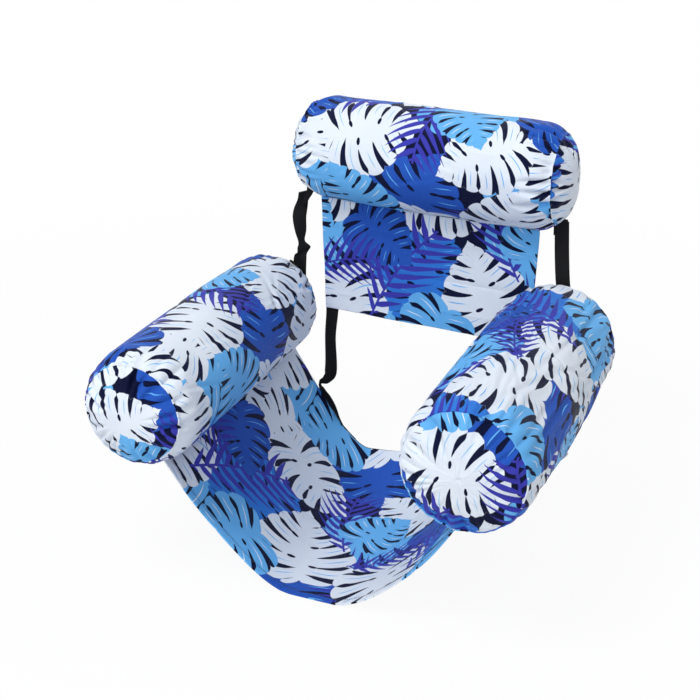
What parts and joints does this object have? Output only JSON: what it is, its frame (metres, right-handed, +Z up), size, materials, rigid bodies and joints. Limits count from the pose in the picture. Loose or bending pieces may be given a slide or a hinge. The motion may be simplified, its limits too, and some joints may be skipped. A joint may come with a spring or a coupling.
{
  "type": "inflatable pool chair",
  "caption": "Inflatable fabric pool chair with roll armrests, a headrest roll, a hung seat sling and a back panel on webbing straps.",
  "frame": {"origin": "centre of the footprint, on the floor that the seat sling rests on", "axes": "+Z up; the chair faces -Y; +X is to the right of someone who faces the chair's front"},
  "size_m": [0.728, 0.683, 0.675],
  "materials": {
    "printed_fabric": "satin woven polyester with a blue leaf print",
    "black_webbing": "matt woven webbing",
    "clear_pvc": "glossy welded film",
    "white_vinyl": "satin moulded vinyl"
  },
  "bodies": {
    "seat": {"seat_sling": "printed_fabric", "seat_front_hem": "printed_fabric", "seat_rear_webbing": "black_webbing", "left_seat_seam": "printed_fabric", "right_seat_seam": "printed_fabric", "left_strap_fold": "black_webbing", "right_strap_fold": "black_webbing"},
    "left_armrest": {"left_armrest_sleeve": "printed_fabric", "left_armrest_bladder": "clear_pvc", "left_armrest_valve": "white_vinyl", "left_armrest_front_cap": "printed_fabric", "left_armrest_front_piping": "printed_fabric", "left_armrest_rear_cap": "printed_fabric", "left_armrest_rear_piping": "printed_fabric", "left_armrest_strap_tab": "black_webbing"},
    "right_armrest": {"right_armrest_sleeve": "printed_fabric", "right_armrest_bladder": "clear_pvc", "right_armrest_valve": "white_vinyl", "right_armrest_front_cap": "printed_fabric", "right_armrest_front_piping": "printed_fabric", "right_armrest_rear_cap": "printed_fabric", "right_armrest_rear_piping": "printed_fabric", "right_armrest_strap_tab": "black_webbing"},
    "left_armrest_plug": {"left_armrest_valve_plug": "white_vinyl"},
    "right_armrest_plug": {"right_armrest_valve_plug": "white_vinyl"},
    "headrest": {"headrest_sleeve": "printed_fabric", "headrest_bladder": "clear_pvc", "headrest_valve": "white_vinyl", "headrest_left_cap": "printed_fabric", "headrest_right_cap": "printed_fabric", "headrest_left_piping": "printed_fabric", "headrest_right_piping": "printed_fabric", "headrest_left_strap_tab": "black_webbing", "headrest_right_strap_tab": "black_webbing"},
    "headrest_plug": {"headrest_valve_plug": "white_vinyl"},
    "back_panel": {"back_panel": "printed_fabric", "back_panel_top_seam": "printed_fabric", "back_panel_bottom_hem": "printed_fabric", "back_panel_left_hem": "printed_fabric", "back_panel_right_hem": "printed_fabric"},
    "left_upper_strap": {"left_upper_strap": "black_webbing"},
    "right_upper_strap": {"right_upper_strap": "black_webbing"},
    "left_lower_strap": {"left_lower_strap": "black_webbing"},
    "right_lower_strap": {"right_lower_strap": "black_webbing"}
  },
  "joints": [
    {"name": "left_armrest_lean", "type": "hinge", "parent": "seat", "child": "left_armrest", "pos_m": [-0.235, 0, 0.20648], "axis": [0, 1, 0], "range_deg": [-8, 10]},
    {"name": "right_armrest_lean", "type": "hinge", "parent": "seat", "child": "right_armrest", "pos_m": [0.235, 0, 0.20648], "axis": [0, -1, 0], "range_deg": [-8, 10]},
    {"name": "recline", "type": "hinge", "parent": "seat", "child": "headrest", "pos_m": [0, 0.20337, 0.386], "axis": [-1, 0, 0], "range_deg": [-5, 25]},
    {"name": "panel_hang", "type": "hinge", "parent": "headrest", "child": "back_panel", "pos_m": [0, 0.2315, 0.49469], "axis": [1, 0, 0], "range_deg": [-5.5, 25.5]},
    {"name": "left_lower_strap_swing", "type": "hinge", "parent": "seat", "child": "left_lower_strap", "pos_m": [-0.19, 0.20337, 0.157], "axis": [-1, 0, 0], "range_deg": [-5.5, 25.5]},
    {"name": "right_lower_strap_swing", "type": "hinge", "parent": "seat", "child": "right_lower_strap", "pos_m": [0.19, 0.20337, 0.157], "axis": [-1, 0, 0], "range_deg": [-5.5, 25.5]},
    {"name": "left_upper_strap_swing", "type": "hinge", "parent": "headrest", "child": "left_upper_strap", "pos_m": [-0.243, 0.2323, 0.49044], "axis": [0, -0.9637, 0.2669], "range_deg": [-13.4, 16.7]},
    {"name": "right_upper_strap_swing", "type": "hinge", "parent": "headrest", "child": "right_upper_strap", "pos_m": [0.243, 0.2323, 0.49044], "axis": [0, 0.9637, -0.2669], "range_deg": [-13.4, 16.7]},
    {"name": "left_armrest_plug_pull", "type": "slide", "parent": "left_armrest", "child": "left_armrest_plug", "axis": [-0.7071, 0, -0.7071], "range_m": [0, 0.009]},
    {"name": "right_armrest_plug_pull", "type": "slide", "parent": "right_armrest", "child": "right_armrest_plug", "axis": [0.7071, 0, -0.7071], "range_m": [0, 0.009]},
    {"name": "headrest_plug_pull", "type": "slide", "parent": "headrest", "child": "headrest_plug", "axis": [0, 0.7071, -0.7071], "range_m": [0, 0.009]}
  ],
  "couplings": [
    {"joint": "panel_hang", "follows": "recline", "ratio": 1},
    {"joint": "left_lower_strap_swing", "follows": "recline", "ratio": 1},
    {"joint": "right_lower_strap_swing", "follows": "recline", "ratio": 1},
    {"joint": "left_upper_strap_swing", "follows": "left_armrest_lean", "ratio": 1.6566},
    {"joint": "right_upper_strap_swing", "follows": "right_armrest_lean", "ratio": 1.6566}
  ]
}
